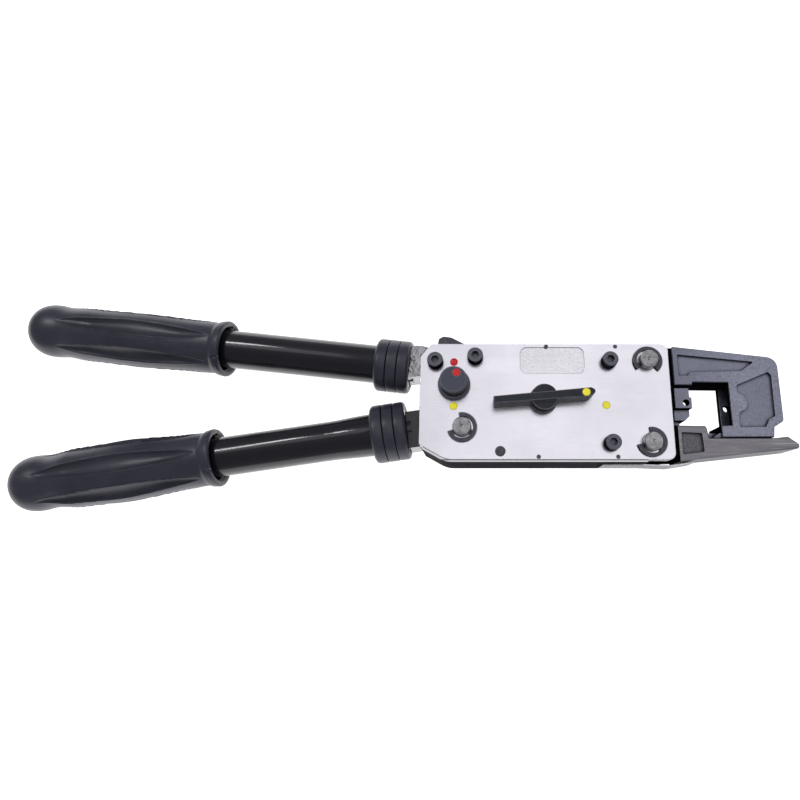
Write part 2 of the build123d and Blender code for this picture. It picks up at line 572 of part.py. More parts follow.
ANVIL_FACE = 190.3
ANVIL_PIN = (195.2, 18.8)
SLOT_DEPTH = 9.0
ANVIL_SLOT_LOW, ANVIL_SLOT_HIGH = MID_Z - 7.0, MID_Z + 7.0
JAW_SHOULDER = 151.7
JAW_EDGE_BREAK = 0.6
JAW_TIP = (227.3, 52.5)

jaw_outline = (
    (JAW_SHOULDER, 60.4), (152.6, 61.1), JAW_TIP, (226.8, 5.8),
    (219.8, 1.6), (218.8, -5.6), (182.5, -5.9), (182.5, 2.6), (ANVIL_FACE, 2.9), (ANVIL_FACE, 33.9),
    (165.1, 34.2), (164.2, 32.1), (JAW_SHOULDER, 32.1),
)
jaw = prism(jaw_outline, JAW_LOW, JAW_HIGH)
tip_edge = jaw.edges().filter_by(Axis.Z).sort_by_distance(Vector(*JAW_TIP, MID_Z))[0]
jaw = fillet(tip_edge, 8.0)
heel_edge = jaw.edges().filter_by(Axis.Z).sort_by_distance(Vector(226.8, 5.8, MID_Z))[0]
jaw = fillet(heel_edge, 2.5)
jaw = chamfer(jaw.faces().filter_by(Axis.Z).edges(), JAW_EDGE_BREAK)
neck = prism(((131.5, BODY_TOP - 0.7), (156, 60.2), (156, 33.0), (141, 35.6), (131.5, 35.7)),
             CORE_LOW, CORE_HIGH)
jaw += neck + rod(JAW_PIVOT, HUB_R, CORE_LOW, CORE_HIGH)
jaw -= rod(JAW_PIVOT, PIVOT_R + PIN_RUN, CORE_LOW, CORE_HIGH)
jaw -= box(ANVIL_FACE - 1, ANVIL_FACE + SLOT_DEPTH, 2.9, 33.9, ANVIL_SLOT_LOW, ANVIL_SLOT_HIGH)
jaw -= rod(ANVIL_PIN, DIE_PIN_R, JAW_LOW, ANVIL_SLOT_HIGH + 2.5)

arm_pocket = ((155.4, 54.9), (210.4, 49.4), (200.3, 42.6), (163.9, 41.6), (161.7, 39.2), (155.4, 39.1))
bump_arc = [around((196.0, 19.2), 6.6, angle) for angle in (68, 45, 20, -5, -30, -55, -78)]
nose_pocket = ((196.0, 31.9), (219.6, 41.8), (221.7, 39.2), (221.1, 9.3), (216.6, 7.0), (213.7, 1.6),
               (195.6, 1.2), (195.4, 10.4))
nose_pocket = nose_pocket + tuple(reversed(bump_arc)) + ((196.0, 27.4),)
for outline in (arm_pocket, nose_pocket):
    sunk = prism(outline, 0, POCKET_DEPTH + 1, radius=0.6)
    jaw -= Pos(0, 0, JAW_HIGH - POCKET_DEPTH) * sunk
    jaw -= Pos(0, 0, JAW_LOW - 1) * sunk

# The foot's tongue, with a ramp at its front and a lug that drops into the latch.
TONGUE_LOW, TONGUE_HIGH = MID_Z - 6, MID_Z + 8
tongue = prism(((184, -5.9), (173.6, -5.9), (173.6, -1.3), (184, -1.3)), TONGUE_LOW, MID_Z + 2)
tongue_step = ((184, -5.9), (177, -5.9), (177, -5.3), (181.2, -2.6), (184, -2.6))
tongue += prism(tongue_step, TONGUE_LOW, JAW_HIGH - 2)
LUG_CATCH = ((188, -5.5), (188, -8.8), (191.0, -8.8), (196.0, -5.5))
jaw += tongue + prism(LUG_CATCH, TONGUE_LOW, TONGUE_HIGH)
save("upper_jaw", jaw)


# ---------------------------------------------------------------- latch arm and its spring

LATCH_FACE = -6.3
latch_outline = (
    (151.1, 2.6), (171.0, 2.2), (171.9, 0.8), (173.0, LATCH_FACE), (219.6, LATCH_FACE), (228.2, -5.2),
    (235.6, -10.6), (235.4, -12.8), (234.2, -13.8), (151.1, -22.7),
)
latch = prism(latch_outline, JAW_LOW, JAW_HIGH)
latch = chamfer(latch.faces().filter_by(Axis.Z).edges(), JAW_EDGE_BREAK)
latch_neck = ((130.7, 1.7), (141, 1.7), (156, 1.4), (156, -21.6), (130.7, -22.3))
latch += prism(latch_neck, CORE_LOW, CORE_HIGH) + rod(LATCH_PIVOT, HUB_R - 0.3, CORE_LOW, CORE_HIGH)
latch -= rod(LATCH_PIVOT, PIVOT_R + PIN_RUN, CORE_LOW, CORE_HIGH)
latch_pocket = ((153.7, -2.2), (168.2, -2.9), (168.9, -16.1), (153.7, -18.0))
sunk = prism(latch_pocket, 0, POCKET_DEPTH + 1, radius=1.2)
latch -= Pos(0, 0, JAW_HIGH - POCKET_DEPTH) * sunk
latch -= Pos(0, 0, JAW_LOW - 1) * sunk
lug_seat = ((187.4, 0), (187.4, -9.6), (191.4, -9.6), (199.6, LATCH_FACE), (199.6, 0))
latch -= prism(lug_seat, TONGUE_LOW - 0.5, TONGUE_HIGH + 0.5)
save("latch_arm", latch)

spring_y = BODY_BOTTOM - STRIP_THICK
latch_spring_outline = (
    (98, spring_y), (124, spring_y), (146, spring_y - 0.9), (162, -22.6), (162, -23.5),
    (146, spring_y - 2.0), (123.8, spring_y - 1.1), (98, spring_y - 1.1),
)
save("latch_spring", prism(latch_spring_outline, MID_Z - 8, MID_Z + 8))
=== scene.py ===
import json
import math

import bmesh
import bpy
from mathutils import Matrix, Vector


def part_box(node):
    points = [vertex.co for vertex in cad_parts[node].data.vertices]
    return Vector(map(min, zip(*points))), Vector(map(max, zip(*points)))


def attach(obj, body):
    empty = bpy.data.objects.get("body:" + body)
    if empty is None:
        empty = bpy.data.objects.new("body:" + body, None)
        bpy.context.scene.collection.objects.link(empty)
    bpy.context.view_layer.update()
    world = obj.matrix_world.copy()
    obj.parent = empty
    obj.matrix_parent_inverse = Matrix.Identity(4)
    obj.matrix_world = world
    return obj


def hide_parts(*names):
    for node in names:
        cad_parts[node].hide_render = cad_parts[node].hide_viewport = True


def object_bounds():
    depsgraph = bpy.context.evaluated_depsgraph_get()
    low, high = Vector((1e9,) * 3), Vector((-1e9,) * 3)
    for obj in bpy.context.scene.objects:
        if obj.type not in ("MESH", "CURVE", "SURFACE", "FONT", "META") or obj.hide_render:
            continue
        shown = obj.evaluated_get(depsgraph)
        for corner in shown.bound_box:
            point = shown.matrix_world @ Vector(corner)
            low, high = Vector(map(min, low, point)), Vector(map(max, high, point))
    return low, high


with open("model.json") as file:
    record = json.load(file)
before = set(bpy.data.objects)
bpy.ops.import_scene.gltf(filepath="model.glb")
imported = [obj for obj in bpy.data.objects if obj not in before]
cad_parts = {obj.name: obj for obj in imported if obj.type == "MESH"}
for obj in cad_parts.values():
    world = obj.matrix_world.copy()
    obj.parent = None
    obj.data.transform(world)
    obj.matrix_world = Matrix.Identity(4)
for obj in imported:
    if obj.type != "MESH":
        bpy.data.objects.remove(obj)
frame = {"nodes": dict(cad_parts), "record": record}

CAD_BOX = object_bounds()
MM = 0.001

# ---------------------------------------------------------------- camera and light

CAMERA_PLACE = Vector((11.1, -78.4, 434.0)) * MM
CAMERA_TILT = math.radians(13.95)

camera_data = bpy.data.cameras.new("camera")
camera_data.sensor_width = 36.0
camera_data.lens = 26.1
camera_data.shift_x = -0.0975
camera_data.clip_start = 0.01
camera = bpy.data.objects.new("camera", camera_data)
camera.location = CAMERA_PLACE
camera.rotation_euler = (CAMERA_TILT, 0, 0)
bpy.context.scene.collection.objects.link(camera)
bpy.context.scene.camera = camera
bpy.context.scene.view_settings.view_transform = "Standard"


def add_softbox(name, place, aim, size, radiance, colour=(1, 1, 1)):
    """Rectangular softbox of one brightness over its face, turned towards a place."""
    data = bpy.data.lights.new(name, "AREA")
    data.shape = "RECTANGLE"
    data.size, data.size_y = size
    data.energy = radiance * math.pi * size[0] * size[1]
    data.color = colour
    light = bpy.data.objects.new(name, data)
    light.location = place
    light.rotation_euler = (Vector(aim) - Vector(place)).to_track_quat("-Z", "Y").to_euler()
    bpy.context.scene.collection.objects.link(light)


add_softbox("left_strip_light", (-0.71, 0.57, 1.13), (-0.16, 0.03, 0.03), (0.36, 0.12), 20)
add_softbox("left_softbox", (-0.60, 0.36, 1.05), (-0.60, 0.36, 0.0), (0.55, 0.42), 0.95, (0.97, 0.97, 1.0))
add_softbox("overhead_softbox", (0.34, 0.30, 1.05), (0.34, 0.30, 0.0), (1.05, 1.2), 0.78, (1.0, 0.99, 1.0))

world = bpy.data.worlds.new("studio")
world.use_nodes = True
world.node_tree.nodes["Background"].inputs["Color"].default_value = (0.95, 0.96, 1.0, 1)
world.node_tree.nodes["Background"].inputs["Strength"].default_value = 0.25
bpy.context.scene.world = world


# ---------------------------------------------------------------- shader helpers

class Shader:
    """Short calls for building one node material."""

    def __init__(self, name):
        self.material = bpy.data.materials.new(name)
        self.material.use_nodes = True
        self.tree = self.material.node_tree
        self.tree.nodes.clear()
        self.output = self.tree.nodes.new("ShaderNodeOutputMaterial")
        self.surface = self.tree.nodes.new("ShaderNodeBsdfPrincipled")
        self.tree.links.new(self.surface.outputs["BSDF"], self.output.inputs["Surface"])
        self.place = self.tree.nodes.new("ShaderNodeTexCoord").outputs["Object"]

    def set(self, **values):
        """Constant values on the principled shader, by socket name with _ for a space."""
        for key, value in values.items():
            self.surface.inputs[key.replace("_", " ")].default_value = value

    def link(self, source, socket):
        self.tree.links.new(source, self.surface.inputs[socket])

    def scaled(self, scale, turn=(0, 0, 0)):
        """Object coordinates stretched by a scale for each axis."""
        node = self.tree.nodes.new("ShaderNodeMapping")
        node.inputs["Scale"].default_value = scale
        node.inputs["Rotation"].default_value = turn
        self.tree.links.new(self.place, node.inputs["Vector"])
        return node.outputs["Vector"]

    def noise(self, scale, detail=4.0, roughness=0.55, stretch=(1, 1, 1), turn=(0, 0, 0)):
        node = self.tree.nodes.new("ShaderNodeTexNoise")
        node.inputs["Scale"].default_value = scale
        node.inputs["Detail"].default_value = detail
        node.inputs["Roughness"].default_value = roughness
        self.tree.links.new(self.scaled(stretch, turn), node.inputs["Vector"])
        return node.outputs["Fac"]

    def cells(self, scale, stretch=(1, 1, 1), feature="F1"):
        node = self.tree.nodes.new("ShaderNodeTexVoronoi")
        node.feature = feature
        node.inputs["Scale"].default_value = scale
        self.tree.links.new(self.scaled(stretch), node.inputs["Vector"])
        return node.outputs["Distance"]

    def ramp(self, source, *stops):
        """Map a value through (position, value or colour) stops."""
        node = self.tree.nodes.new("ShaderNodeValToRGB")
        self.tree.links.new(source, node.inputs["Fac"])
        marks = node.color_ramp.elements
        while len(marks) < len(stops):
            marks.new(0.5)
        for mark, (position, value) in zip(marks, stops):
            mark.position = position
            colour = value if isinstance(value, tuple) else (value, value, value)
            mark.color = (*colour, 1)
        return node.outputs["Color"]

    def range(self, source, low, high, to_low, to_high):
        node = self.tree.nodes.new("ShaderNodeMapRange")
        for key, value in zip(("From Min", "From Max", "To Min", "To Max"), (low, high, to_low, to_high)):
            node.inputs[key].default_value = value
        self.tree.links.new(source, node.inputs["Value"])
        return node.outputs["Result"]

    def maths(self, operation, first, second=None, clamp=False):
        node = self.tree.nodes.new("ShaderNodeMath")
        node.operation = operation
        node.use_clamp = clamp
        for index, value in enumerate((first, second)):
            if value is None:
                continue
            if isinstance(value, (int, float)):
                node.inputs[index].default_value = value
            else:
                self.tree.links.new(value, node.inputs[index])
        return node.outputs["Value"]

    def mix(self, factor, first, second):
        """Blend two colours, each a tuple or a socket."""
        node = self.tree.nodes.new("ShaderNodeMix")
        node.data_type = "RGBA"
        sockets = [s for s in node.inputs if s.enabled]
        if isinstance(factor, (int, float)):
            sockets[0].default_value = factor
        else:
            self.tree.links.new(factor, sockets[0])
        for socket, value in zip(sockets[1:], (first, second)):
            if isinstance(value, tuple):
                socket.default_value = (*value, 1)
            else:
                self.tree.links.new(value, socket)
        return next(s for s in node.outputs if s.enabled)

    def bump(self, height, distance, strength=1.0, under=None):
        node = self.tree.nodes.new("ShaderNodeBump")
        node.inputs["Strength"].default_value = strength
        node.inputs["Distance"].default_value = distance
        self.tree.links.new(height, node.inputs["Height"])
        if under is not None:
            self.tree.links.new(under, node.inputs["Normal"])
        return node.outputs["Normal"]

    def rounded(self, radius):
        """Normal with the edges rounded over a small radius."""
        node = self.tree.nodes.new("ShaderNodeBevel")
        node.samples = 6
        node.inputs["Radius"].default_value = radius
        return node.outputs["Normal"]

    def edges(self, radius, low=0.0, high=0.25):
        """1 along edges and 0 on open faces, from how far the rounded normal turns."""
        turned = self.tree.nodes.new("ShaderNodeVectorMath")
        turned.operation = "DOT_PRODUCT"
        self.tree.links.new(self.rounded(radius), turned.inputs[0])
        flat = self.tree.nodes.new("ShaderNodeNewGeometry")
        self.tree.links.new(flat.outputs["Normal"], turned.inputs[1])
        away = self.maths("SUBTRACT", 1.0, turned.outputs["Value"])
        return self.range(away, low, high, 0.0, 1.0)

    def facing(self, axis, low=0.45, high=0.55):
        """1 where the surface faces up or down an axis, 0 where it stands across it."""
        split = self.tree.nodes.new("ShaderNodeSeparateXYZ")
        geometry = self.tree.nodes.new("ShaderNodeNewGeometry")
        self.tree.links.new(geometry.outputs["True Normal"], split.inputs["Vector"])
        return self.range(self.maths("ABSOLUTE", split.outputs[axis]), low, high, 0.0, 1.0)

    def crevice(self, reach):
        """1 in inner corners and pits, 0 on open faces."""
        node = self.tree.nodes.new("ShaderNodeAmbientOcclusion")
        node.samples = 6
        node.inputs["Distance"].default_value = reach
        return self.range(node.outputs["AO"], 0.45, 0.92, 1.0, 0.0)

    def distance(self, point):
        """Distance from an upright axis through a point."""
        flat = self.tree.nodes.new("ShaderNodeVectorMath")
        flat.operation = "MULTIPLY"
        flat.inputs[1].default_value = (1, 1, 0)
        self.tree.links.new(self.place, flat.inputs[0])
        away = self.tree.nodes.new("ShaderNodeVectorMath")
        away.operation = "DISTANCE"
        away.inputs[1].default_value = (point[0], point[1], 0)
        self.tree.links.new(flat.outputs["Vector"], away.inputs[0])
        return away.outputs["Value"]

    def within(self, axis, low, high, soft):
        """1 between two levels along an axis, with soft ends."""
        split = self.tree.nodes.new("ShaderNodeSeparateXYZ")
        self.tree.links.new(self.place, split.inputs["Vector"])
        along = split.outputs[axis]
        rise = self.range(along, low - soft, low + soft, 0.0, 1.0)
        fall = self.range(along, high - soft, high + soft, 1.0, 0.0)
        return self.maths("MULTIPLY", rise, fall)


def brushed_nickel(name, colour, rough_low, rough_high, pocket=None, ripple=0.0):
    """Satin nickel plating: fine faint brush lines, cloudy patches, swirls and a few scratches."""
    s = Shader(name)
    lines = s.noise(700, 3, 0.7, stretch=(0.05, 1.0, 1.0))
    clouds = s.noise(20, 5, 0.6)
    swirls = s.noise(34, 4, 0.75, stretch=(0.35, 1.0, 1.0), turn=(0, 0, 0.35))
    scratches = s.noise(150, 2, 0.5, stretch=(0.10, 1.7, 1.0), turn=(0, 0, 0.6))
    scratches = s.ramp(scratches, (0.67, 0.0), (0.71, 1.0))
    tint = s.mix(s.ramp(clouds, (0.35, 0.0), (0.7, 1.0)), colour, tuple(c * 0.93 for c in colour))
    tint = s.mix(s.ramp(swirls, (0.5, 0.0), (0.75, 0.6)), tint, tuple(min(1.0, c * 1.1) for c in colour))
    tint = s.mix(s.maths("MULTIPLY", scratches, 0.15), tint, tuple(c * 0.8 for c in colour))
    # Painted shade: dark grey in the inner corners.
    tint = s.mix(s.maths("MULTIPLY", s.crevice(0.0012), 0.55), tint, (0.12, 0.12, 0.13))
    normal = s.bump(lines, 0.00002, 0.05, under=s.rounded(0.0004))
    if ripple:
        normal = s.bump(s.noise(150, 2, 0.5), 0.002, ripple, under=normal)
    normal = s.bump(swirls, 0.0001, 0.12, under=normal)
    normal = s.bump(scratches, 0.00001, 0.25, under=normal)
    if pocket is not None:
        stipple = s.maths("ADD", s.cells(1300), s.noise(600, 3, 0.6))
        normal = s.bump(s.maths("MULTIPLY", stipple, pocket(s)), 0.0003, 0.55, under=normal)
        tint = s.mix(s.maths("MULTIPLY", pocket(s), 0.4), tint, (0.97, 0.96, 0.99))
        darkening = s.maths("MULTIPLY", s.ramp(stipple, (0.7, 0.0), (1.1, 0.3)), pocket(s))
        tint = s.mix(darkening, tint, (0.58, 0.58, 0.59))
    s.link(tint, "Base Color")
    haze = s.maths("ADD", s.maths("MULTIPLY", lines, 0.3), clouds)
    s.link(s.range(haze, 0.4, 0.9, rough_low, rough_high), "Roughness")
    s.link(normal, "Normal")
    s.set(Metallic=1.0)
    return s.material


def dark_steel(name, colour, worn, rough, wear_and_highlight=0.8, edge=0.0008, grain=0.35, black=None, cast=None,
               bright=None, lit_tops=None, darkening=0.0, graze=0.35):
    """Blackened steel: mottled oxide, fine pits, lighter metal along the edges, partly worn and partly a
    painted highlight.

    The masks mark walls painted near-black as shade, rough cast faces, bare sheared edges and upward faces
    painted lighter as if lit.
    """
    s = Shader(name)
    mottle = s.noise(60, 6, 0.65)
    fine = s.noise(900, 3, 0.6)
    speckle = s.noise(640, 3, 0.7)
    lighter = tuple(c * 1.25 + 0.01 for c in colour)
    flecks = tuple(c * 1.9 + 0.02 for c in colour)
    base = s.mix(s.ramp(mottle, (0.32, 0.0), (0.68, 1.0)), colour, lighter)
    base = s.mix(s.ramp(speckle, (0.3, 0.7), (0.5, 0.0)), base, tuple(c * 0.55 for c in colour))
    base = s.mix(s.ramp(speckle, (0.56, 0.0), (0.75, 0.6)), base, flecks)
    # Painted light: upward faces picked by the mask are made lighter, as if lit.
    if lit_tops is not None:
        base = s.mix(lit_tops(s), base, tuple(c * 1.7 for c in colour))
    # Lighter metal along the edges: worn metal, and on the screw-head rims also a painted highlight.
    worn_and_highlit_edges = s.maths("MULTIPLY", s.edges(edge), s.range(s.noise(130, 4, 0.7), 0.35, 0.62, 0.1, 1.0))
    base = s.mix(s.maths("MULTIPLY", worn_and_highlit_edges, wear_and_highlight), base, worn)
    normal = s.bump(fine, 0.00003, grain, under=s.rounded(edge * 0.6))
    if cast is not None:
        pits = s.noise(800, 3, 0.7)
        darker = tuple(c * 0.6 for c in colour)
        base = s.mix(s.maths("MULTIPLY", s.within("X", *DARK_END_X, 0.026), 0.85), base, darker)
        base = s.mix(s.maths("MULTIPLY", cast(s), s.ramp(pits, (0.38, 0.35), (0.62, 1.0))), base,
                     tuple(c * 0.92 for c in colour))
        normal = s.bump(s.maths("MULTIPLY", pits, cast(s)), 0.00022, 0.8, under=normal)
    # Painted shade: near-black colour in the inner corners and pits.
    if darkening:
        base = s.mix(s.maths("MULTIPLY", s.crevice(0.0028), darkening), base, (0.008, 0.008, 0.009))
    if bright is not None:
        base = s.mix(bright(s), base, (0.78, 0.78, 0.79))
    # Painted shade: the masked walls get a near-black colour and lose their shine.
    if black is not None:
        walls = black(s)
        base = s.mix(walls, base, (0.004, 0.004, 0.004))
        s.link(s.maths("SUBTRACT", 1.0, walls), "Metallic")
        s.link(s.range(walls, 0.0, 1.0, 0.5, 0.0), "Specular IOR Level")
    s.link(base, "Base Color")
    haze = s.maths("ADD", mottle, s.maths("MULTIPLY", fine, 0.5))
    s.link(s.range(haze, 0.5, 1.0, rough - 0.07, rough + 0.1), "Roughness")
    s.link(normal, "Normal")
    s.set(Specular_Tint=(graze, graze, graze, 1))
    if black is None:
        s.set(Metallic=1.0)
    return s.material


def worn_latch_steel(walls, pockets):
    """Latch arm: oxide worn to grey, long tool lines, pitted pocket, scratches on the thumb end."""
    s = Shader("worn_latch_steel")
    mottle = s.noise(45, 6, 0.7, stretch=(0.5, 1, 1), turn=(0, 0, -0.1))
    rub = s.noise(420, 4, 0.75, stretch=(0.04, 1.0, 1.0), turn=(0, 0, -0.1))
    open_face = s.maths("SUBTRACT", 1.0, pockets(s))
    base = s.mix(s.ramp(mottle, (0.3, 0.0), (0.7, 1.0)), (0.190, 0.182, 0.205), (0.270, 0.262, 0.285))
    tool_lines = s.maths("MULTIPLY", s.ramp(rub, (0.48, 0.0), (0.72, 0.6)), open_face)
    base = s.mix(tool_lines, base, (0.46, 0.45, 0.47))
    pits = s.noise(800, 3, 0.7)
    rough_floor = s.maths("MULTIPLY", pockets(s), s.ramp(pits, (0.38, 0.4), (0.62, 1.0)))
    base = s.mix(rough_floor, base, (0.10, 0.10, 0.112))
    scores = []
    for turn in (0.75, -0.6):
        score = s.noise(420, 2, 0.4, stretch=(0.05, 1.5, 1.0), turn=(0, 0, turn))
        scores.append(s.ramp(score, (0.6, 0.0), (0.66, 1.0)))
    crossed = s.maths("MAXIMUM", scores[0], scores[1])
    thumb_end = s.maths("MULTIPLY", crossed, s.within("X", *THUMB_END, 0.003))
    base = s.mix(s.maths("MULTIPLY", thumb_end, 0.6), base, (0.6, 0.6, 0.6))
    base = s.mix(s.maths("MULTIPLY", s.edges(0.0009), 0.5), base, (0.5, 0.5, 0.52))
    # Painted shade: near-black colour in the inner corners and pits.
    base = s.mix(s.maths("MULTIPLY", s.crevice(0.0028), 0.85), base, (0.01, 0.01, 0.01))
    # Painted shade: the walls round the mouth get a near-black colour and lose their shine.
    dark = walls(s)
    base = s.mix(dark, base, (0.004, 0.004, 0.004))
    s.link(base, "Base Color")
    s.link(s.maths("SUBTRACT", 1.0, dark), "Metallic")
    s.link(s.range(dark, 0.0, 1.0, 0.5, 0.0), "Specular IOR Level")
    s.link(s.range(mottle, 0.3, 0.7, 0.34, 0.48), "Roughness")
    normal = s.bump(s.maths("ADD", s.noise(900, 3, 0.6), rub), 0.00003, 0.4, under=s.rounded(0.0005))
    normal = s.bump(s.maths("MULTIPLY", pits, pockets(s)), 0.00022, 0.8, under=normal)
    s.link(s.bump(thumb_end, 0.00008, 0.6, under=normal), "Normal")
    s.set(Specular_Tint=(0.5, 0.5, 0.5, 1))
    return s.material


def glossy_paint():
    """Gloss black paint with faint orange peel and a little dust."""
    s = Shader("gloss_black_paint")
    dust = s.ramp(s.noise(700, 3, 0.6), (0.70, 0.0), (0.78, 1.0))
    s.link(s.mix(s.maths("MULTIPLY", dust, 0.5), (0.005, 0.005, 0.009), (0.03, 0.03, 0.034)), "Base Color")
    s.link(s.range(s.noise(35, 3, 0.5), 0.3, 0.7, 0.07, 0.14), "Coat Roughness")
    s.link(s.bump(s.noise(160, 2, 0.5), 0.00004, 0.25), "Normal")
    s.set(IOR=1.3, Roughness=0.45, Coat_Weight=1.0, Coat_IOR=1.45, Specular_Tint=(0.85, 0.85, 1.0, 1))
    return s.material


def rubber(name, colour):
    """Moulded rubber: soft sheen, slight bloom, scuffs along the grip and a fine grain."""
    s = Shader(name)
    bloom = s.noise(30, 5, 0.65)
    scuffs = s.ramp(s.noise(260, 4, 0.75, stretch=(0.12, 1.0, 1.0)), (0.58, 0.0), (0.78, 0.8))
    base = s.mix(s.ramp(bloom, (0.35, 0.0), (0.72, 1.0)), colour, tuple(c * 1.5 + 0.003 for c in colour))
    base = s.mix(scuffs, base, tuple(c * 2.2 + 0.01 for c in colour))
    # Painted shade: near-black colour in the flutes and other hollows.
    base = s.mix(s.maths("MULTIPLY", s.crevice(0.011), 0.9), base, (0.003, 0.003, 0.004))
    s.link(base, "Base Color")
    s.link(s.range(s.maths("ADD", bloom, scuffs), 0.3, 1.0, 0.30, 0.46), "Roughness")
    grain = s.maths("ADD", s.noise(1100, 3, 0.6), s.maths("MULTIPLY", s.noise(120, 4, 0.6), 2.0))
    s.link(s.bump(grain, 0.00008, 0.4), "Normal")
    s.set(IOR=1.46)
    return s.material


def coated_black(name, colour, rough, knob_center):
    """Satin black coating with painted shade on the sides, a painted highlight along the edges and a knob
    top painted greyer as if lit.
    """
    s = Shader(name)
    patch = s.noise(70, 5, 0.65)
    upward = s.facing("Z")
    base = s.mix(s.ramp(patch, (0.35, 0.0), (0.7, 1.0)), colour, tuple(c * 1.5 + 0.003 for c in colour))
    # Painted light: the upward face of the knob is made lighter, as if lit.
    knob_top = s.maths("MULTIPLY", upward, s.range(s.distance(knob_center), 0.0118, 0.0119, 1.0, 0.0))
    base = s.mix(knob_top, base, tuple(c * 3.4 for c in colour))
    # Painted shade: faces that do not face up are darker and shine less.
    base = s.mix(s.maths("SUBTRACT", 1.0, upward), base, tuple(c * 0.3 for c in colour))
    s.link(s.range(upward, 0.0, 1.0, 0.12, 0.5), "Specular IOR Level")
    # Painted highlight: a lighter line along the edges.
    base = s.mix(s.maths("MULTIPLY", s.edges(0.0009, 0.0, 0.12), 0.85), base, (0.36, 0.36, 0.40))
    s.link(base, "Base Color")
    s.link(s.range(patch, 0.3, 0.7, rough - 0.06, rough + 0.1), "Roughness")
    s.link(s.bump(s.noise(800, 3, 0.6), 0.00003, 0.4, under=s.rounded(0.0004)), "Normal")
    s.set(IOR=1.24)
    return s.material


def turned_pin(centers):
    """Pin steel with faint turning rings and a centre mark on each end face, and a bright rim painted as a
    highlight.
    """
    s = Shader("turned_pin")
    mottle = s.ramp(s.noise(260, 5, 0.7), (0.35, 0.0), (0.7, 1.0))
    base = s.mix(mottle, (0.19, 0.192, 0.20), (0.46, 0.462, 0.475))
    # Painted highlight: a lighter rim along the edges.
    base = s.mix(s.maths("MULTIPLY", s.edges(0.0007), 0.75), base, (0.7, 0.7, 0.71))
    nearest = s.distance(centers[0])
    for center in centers[1:]:
        nearest = s.maths("MINIMUM", nearest, s.distance(center))
    dimple = s.range(nearest, 0.0004, 0.0011, 0.0, 1.0)
    rings = s.maths("SINE", s.maths("MULTIPLY", nearest, 11000))
    normal = s.bump(s.noise(700, 4, 0.6), 0.00006, 0.6, under=s.rounded(0.0005))
    normal = s.bump(rings, 0.00001, 0.5, under=normal)
    s.link(s.bump(dimple, 0.0004, 0.8, under=normal), "Normal")
    s.link(base, "Base Color")
    s.link(s.range(s.noise(150, 3, 0.6), 0.3, 0.7, 0.3, 0.46), "Roughness")
    s.set(Metallic=1.0)
    return s.material


def enamel(name, colour):
    """Enamel fill, a little uneven and glossy, with a faint painted glow."""
    s = Shader(name)
    mottle = s.ramp(s.noise(500, 3, 0.6), (0.3, 0.0), (0.75, 1.0))
    s.link(s.mix(mottle, colour, tuple(c * 0.8 for c in colour)), "Base Color")
    s.link(s.range(s.noise(300, 2, 0.5), 0.3, 0.7, 0.12, 0.24), "Roughness")
    s.link(s.bump(s.noise(260, 2, 0.5), 0.0001, 0.3), "Normal")
    # Painted glow: the enamel gives off a little light of its own colour.
    s.set(IOR=1.4, Emission_Color=(*colour, 1), Emission_Strength=0.26)
    return s.material


FRONT_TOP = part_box("front_side_plate")[1][2]
JAW_LOW, JAW_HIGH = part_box("upper_jaw")[0][2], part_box("upper_jaw")[1][2]
POCKET_DEPTH = 0.002
NAMEPLATE_DEPTH = 0.0007
MOUTH_X, MOUTH_Y = (0.1505, 0.2003), (-0.0062, 0.0346)
NECKS_X = (0.10, 0.1516)                    # between the side plates and the mouth
DARK_END_X = (0.08, 0.172)                  # darker towards the jaw's pivot
THUMB_END = (0.217, 0.24)


def flat_center(node):
    """Middle of a node's box, seen from the front."""
    low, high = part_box(node)
    return (low[0] + high[0]) / 2, (low[1] + high[1]) / 2


PIN_CENTERS = [flat_center(node) for node in ("handle_pivot_pin", "jaw_pivot_pin", "latch_pivot_pin")]
KNOB_CENTER = flat_center("release_knob")


def nameplate_area(s):
    """1 inside the sunk nameplate of the front plate."""
    floor_level = FRONT_TOP - NAMEPLATE_DEPTH
    depth = s.within("Z", floor_level - 0.0001, floor_level + 0.0001, 0.00004)
    return s.maths("MULTIPLY", depth, s.facing("Z"))


def mouth_walls(s):
    """1 on the upright walls round the crimping mouth and on the necks between the side plates, which are
    painted near-black as shade.
    """
    upright = s.maths("SUBTRACT", 1.0, s.facing("Z"))
    inside = s.maths("MULTIPLY", s.within("X", *MOUTH_X, 0.0002), s.within("Y", *MOUTH_Y, 0.0002))
    return s.maths("MAXIMUM", s.maths("MULTIPLY", upright, inside), s.within("X", *NECKS_X, 0.0001))


def pocket_floors(s):
    """1 on the floors of the pockets in both faces of the jaw and the latch."""
    lower = s.within("Z", JAW_LOW + POCKET_DEPTH - 0.0001, JAW_LOW + POCKET_DEPTH + 0.0001, 0.00005)
    upper = s.within("Z", JAW_HIGH - POCKET_DEPTH - 0.0001, JAW_HIGH - POCKET_DEPTH + 0.0001, 0.00005)
    return s.maths("MULTIPLY", s.maths("ADD", lower, upper), s.facing("Z"))


def sheared_edge(s):
    """1 on the front edge of the bottom cover strip."""
    strip_low, strip_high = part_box("bottom_cover_strip")
    level = s.within("Z", strip_high[2] - 0.00015, strip_high[2] + 0.00015, 0.00005)
    front = s.maths("MULTIPLY", level, s.facing("Z"))
    seam = s.within("Y", strip_low[1] + 0.0011, strip_low[1] + 0.0018, 0.00015)
    return s.maths("MULTIPLY", front, s.maths("SUBTRACT", 1.0, seam))


def screw_tops(s):
    """1 on the tops of the screw heads and on the floors of their sockets, where painted light makes them
    lighter.
    """
    level = s.within("Z", FRONT_TOP + 0.0022, FRONT_TOP + 0.009, 0.0002)
    return s.maths("MULTIPLY", level, s.facing("Z"))


